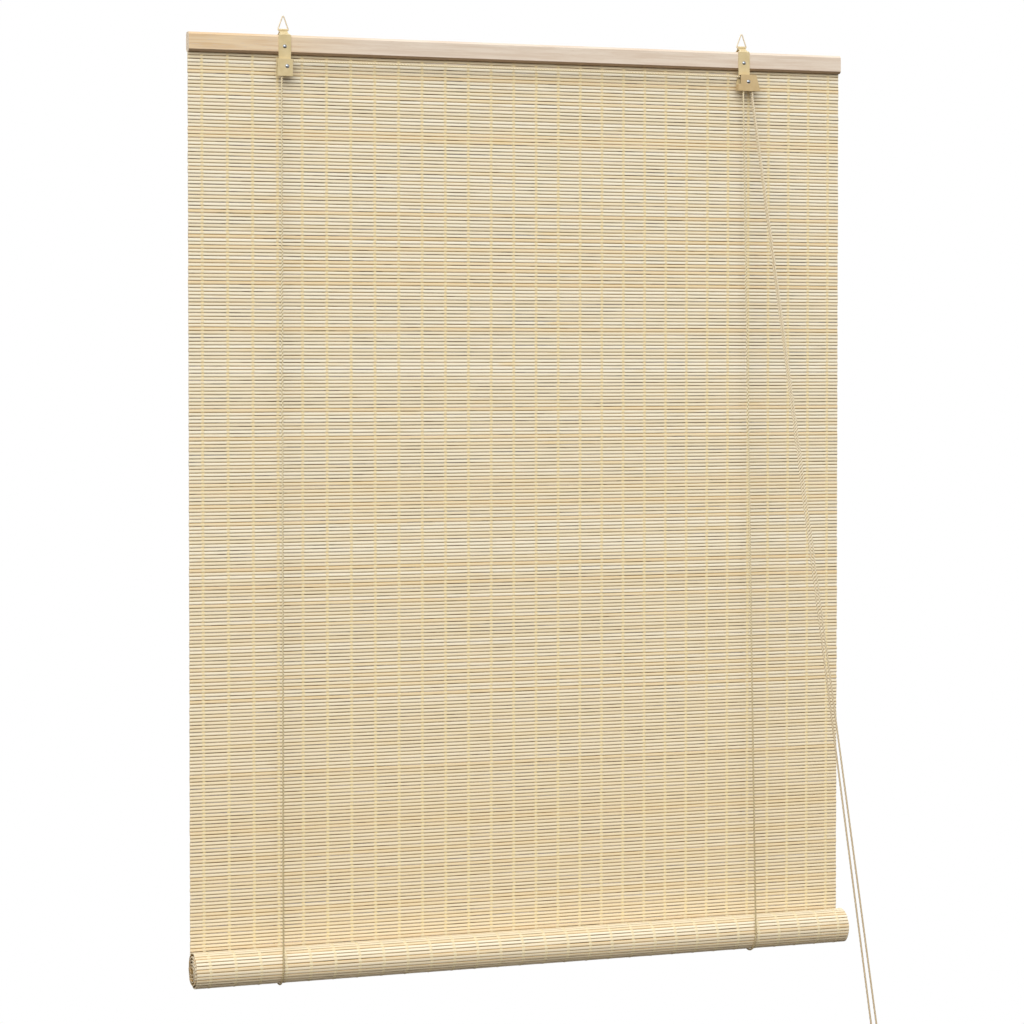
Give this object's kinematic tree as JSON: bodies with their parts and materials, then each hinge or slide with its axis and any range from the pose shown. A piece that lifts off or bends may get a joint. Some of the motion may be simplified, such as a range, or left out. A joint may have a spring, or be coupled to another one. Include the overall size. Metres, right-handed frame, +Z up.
{
  "type": "bamboo roll-up blind",
  "caption": "Woven bamboo slat blind on a wooden head rail, rolled at its foot and raised by cords through pulleys and a cord lock, hung from wire rings.",
  "frame": {"origin": "over the middle of the head rail, at the height where the hooks bear at the inner top of the two hanging rings", "axes": "+X along the rail to the right as seen from the front, +Y to the back, +Z up"},
  "size_m": [1.003, 0.3691, 1.458],
  "materials": {
    "bamboo": "split bamboo, natural, matt",
    "lath_wood": "planed wood, clear matt",
    "warp_thread": "twisted cotton thread",
    "bracket_paint": "khaki paint, satin",
    "ring_wire": "cream paint, satin",
    "rivet_steel": "bright steel",
    "nail_steel": "bare steel wire",
    "pulley_plastic": "moulded plastic, matt",
    "roller_brass": "turned brass",
    "lift_cord": "braided cotton cord"
  },
  "bodies": {
    "head": {"front_lath": "lath_wood", "back_lath": "lath_wood", "lath_nails": "nail_steel", "mat_panel": "bamboo", "mat_threads": "warp_thread", "strap_left": "bracket_paint", "strap_right": "bracket_paint", "rail_rivet_left": "rivet_steel", "rail_rivet_right": "rivet_steel", "pulley_cover_left": "bracket_paint", "lock_cover_right": "bracket_paint", "pulley_pin_left": "rivet_steel", "pulley_pin_right": "rivet_steel", "cord_left_front": "lift_cord", "cord_right_front": "lift_cord", "cord_left_back": "lift_cord", "cord_right_back": "lift_cord", "cord_cross": "lift_cord", "cord_lock_turn": "lift_cord", "pull_cord_left": "lift_cord", "pull_cord_right": "lift_cord"},
    "lift": {"cord_left_sling": "lift_cord", "cord_right_sling": "lift_cord"},
    "roll": {"mat_roll": "bamboo"},
    "left_pulley": {"pulley_left": "pulley_plastic"},
    "right_pulley": {"pulley_right": "pulley_plastic"},
    "roller": {"lock_roller": "roller_brass"},
    "left_ring": {"ring_left": "ring_wire"},
    "right_ring": {"ring_right": "ring_wire"}
  },
  "joints": [
    {"name": "roll_lift", "type": "slide", "parent": "head", "child": "lift", "axis": [0, 0, 1], "range_m": [0, 1.082], "deforming": ["mat_panel", "mat_threads", "cord_left_front", "cord_right_front", "cord_left_back", "cord_right_back"]},
    {"name": "roll_turn", "type": "hinge", "parent": "lift", "child": "roll", "pos_m": [0, -0.0246, -1.3383], "axis": [1, 0, 0], "continuous": true},
    {"name": "pulley_left_turn", "type": "hinge", "parent": "head", "child": "left_pulley", "pos_m": [-0.3604, -0.0124, -0.0705], "axis": [0, 1, 0], "continuous": true},
    {"name": "pulley_right_turn", "type": "hinge", "parent": "head", "child": "right_pulley", "pos_m": [0.3443, -0.0142, -0.0705], "axis": [0, 1, 0], "continuous": true},
    {"name": "lock_roller_slide", "type": "slide", "parent": "head", "child": "roller", "axis": [-0.2557, 0, 0.9668], "range_m": [0, 0.0085]},
    {"name": "ring_left_swing", "type": "hinge", "parent": "head", "child": "left_ring", "pos_m": [-0.3626, 0, -0.0187], "axis": [1, 0, 0], "range_deg": [-90, 90]},
    {"name": "ring_right_swing", "type": "hinge", "parent": "head", "child": "right_ring", "pos_m": [0.3409, 0, -0.0187], "axis": [1, 0, 0], "range_deg": [-90, 90]}
  ],
  "couplings": [
    {"joint": "roll_turn", "follows": "roll_lift", "rad_per_m": -40.65},
    {"joint": "pulley_left_turn", "follows": "roll_lift", "rad_per_m": 270.27},
    {"joint": "pulley_right_turn", "follows": "roll_lift", "rad_per_m": 270.27}
  ]
}
